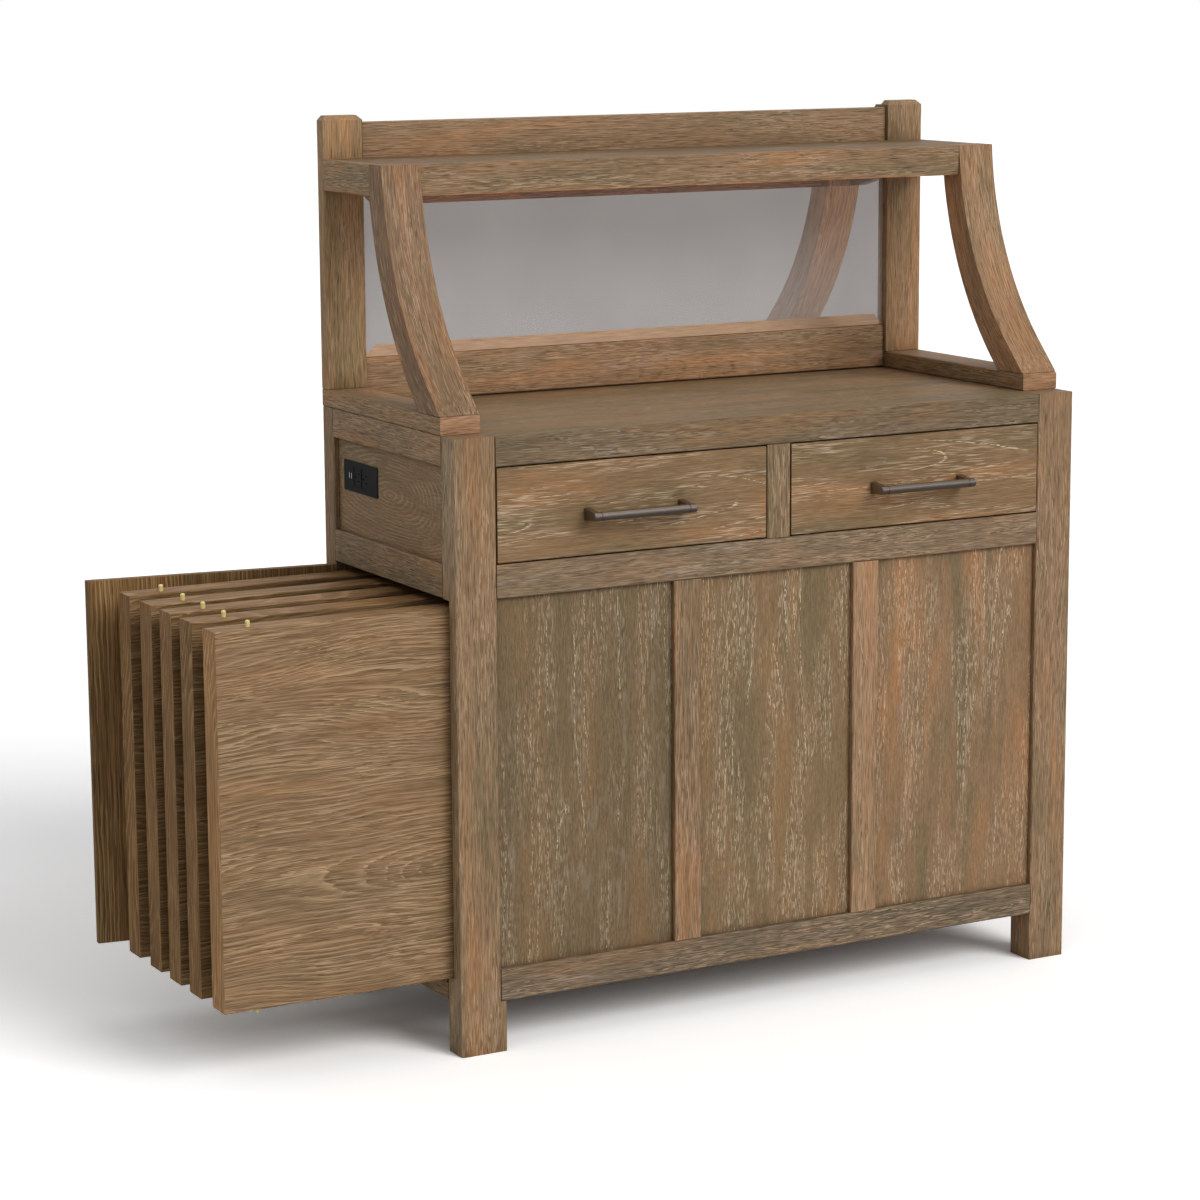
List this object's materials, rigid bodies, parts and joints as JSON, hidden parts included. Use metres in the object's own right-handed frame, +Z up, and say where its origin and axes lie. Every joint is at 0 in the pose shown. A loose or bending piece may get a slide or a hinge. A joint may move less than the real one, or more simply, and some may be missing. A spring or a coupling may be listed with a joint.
{
  "type": "dresser with hutch",
  "caption": "Oak sideboard on square posts with bar-pull drawers, an end bay of sliding table leaves behind a hinged door, and a mirrored hutch shelf on curved brackets.",
  "frame": {"origin": "on the floor, midway across the whole object at rest in width and depth, with the leaves pulled out and the bay door open", "axes": "+X along the width from the leaf bay's end to the closed end, +Y from the drawer side to the back, +Z up"},
  "size_m": [1.6582, 0.5764, 1.5259],
  "materials": {
    "frame_oak": "wire-brushed oak, brown-grey stain with pale filled pores, satin",
    "panel_oak": "wire-brushed oak veneer, darker brown-grey stain with pale filled pores, satin",
    "leaf_oak": "wire-brushed oak, yellow-brown stain with pale filled pores, satin",
    "door_oak": "wire-brushed oak, dark stain with pale streaks along the grain",
    "inner_wood": "plain stained inner wood",
    "drawer_birch": "clear lacquered birch",
    "bronze": "dark bronze, satin",
    "hinge_steel": "antiqued steel, satin",
    "outlet_plastic": "black, satin",
    "mirror_glass": "silvered glass with bevelled edges"
  },
  "bodies": {
    "cabinet": {"post_front_left": "frame_oak", "post_front_right": "frame_oak", "post_rear_left": "frame_oak", "post_rear_right": "frame_oak", "counter_top": "frame_oak", "front_mid_rail": "frame_oak", "front_bottom_rail": "frame_oak", "drawer_stile": "frame_oak", "front_stile_left": "frame_oak", "front_stile_right": "frame_oak", "front_panel_left": "panel_oak", "front_panel_middle": "panel_oak", "front_panel_right": "panel_oak", "side_top_rail_left": "frame_oak", "side_mid_rail_left": "frame_oak", "side_bottom_rail_left": "frame_oak", "side_upper_panel_left": "panel_oak", "side_top_rail_right": "frame_oak", "side_mid_rail_right": "frame_oak", "side_bottom_rail_right": "frame_oak", "side_upper_panel_right": "panel_oak", "side_lower_panel_right": "panel_oak", "power_outlet": "outlet_plastic", "back_panel": "inner_wood", "leaf_tray": "inner_wood", "leaf_guide": "inner_wood", "drawer_divider": "inner_wood", "drawer_runner_left": "inner_wood", "drawer_runner_right": "inner_wood", "hinge_upper": "hinge_steel", "hinge_lower": "hinge_steel", "hutch_post_left": "frame_oak", "hutch_post_right": "frame_oak", "hutch_base_rail_left": "frame_oak", "hutch_base_rail_right": "frame_oak", "hutch_bracket_left": "frame_oak", "hutch_bracket_right": "frame_oak", "shelf_side_rail_left": "frame_oak", "shelf_side_rail_right": "frame_oak", "hutch_top_rail": "frame_oak", "hutch_lower_rail": "frame_oak", "shelf_front_rail": "frame_oak", "hutch_shelf": "frame_oak", "mirror": "mirror_glass", "mirror_back": "inner_wood"},
    "drawer_left": {"drawer_front_left": "frame_oak", "drawer_box_left": "drawer_birch", "drawer_bottom_left": "drawer_birch", "drawer_pull_left": "bronze"},
    "drawer_right": {"drawer_front_right": "frame_oak", "drawer_box_right": "drawer_birch", "drawer_bottom_right": "drawer_birch", "drawer_pull_right": "bronze"},
    "leaf_1": {"table_leaf_1": "leaf_oak"},
    "leaf_2": {"table_leaf_2": "leaf_oak"},
    "leaf_3": {"table_leaf_3": "leaf_oak"},
    "leaf_4": {"table_leaf_4": "leaf_oak"},
    "leaf_5": {"table_leaf_5": "leaf_oak"},
    "door": {"leaf_bay_door": "door_oak"}
  },
  "joints": [
    {"name": "drawer_left_slide", "type": "slide", "parent": "cabinet", "child": "drawer_left", "axis": [0, -1, 0], "range_m": [0, 0.31]},
    {"name": "drawer_right_slide", "type": "slide", "parent": "cabinet", "child": "drawer_right", "axis": [0, -1, 0], "range_m": [0, 0.31]},
    {"name": "leaf_1_slide", "type": "slide", "parent": "cabinet", "child": "leaf_1", "axis": [1, 0, 0], "range_m": [-0.12, 0.425]},
    {"name": "leaf_2_slide", "type": "slide", "parent": "cabinet", "child": "leaf_2", "axis": [1, 0, 0], "range_m": [-0.12, 0.425]},
    {"name": "leaf_3_slide", "type": "slide", "parent": "cabinet", "child": "leaf_3", "axis": [1, 0, 0], "range_m": [-0.12, 0.425]},
    {"name": "leaf_4_slide", "type": "slide", "parent": "cabinet", "child": "leaf_4", "axis": [1, 0, 0], "range_m": [-0.12, 0.425]},
    {"name": "leaf_5_slide", "type": "slide", "parent": "cabinet", "child": "leaf_5", "axis": [1, 0, 0], "range_m": [-0.12, 0.425]},
    {"name": "door_hinge", "type": "hinge", "parent": "cabinet", "child": "door", "pos_m": [-0.3928, 0.2205, 0.44685], "axis": [0, 0, 1], "range_deg": [-77, 8]}
  ]
}
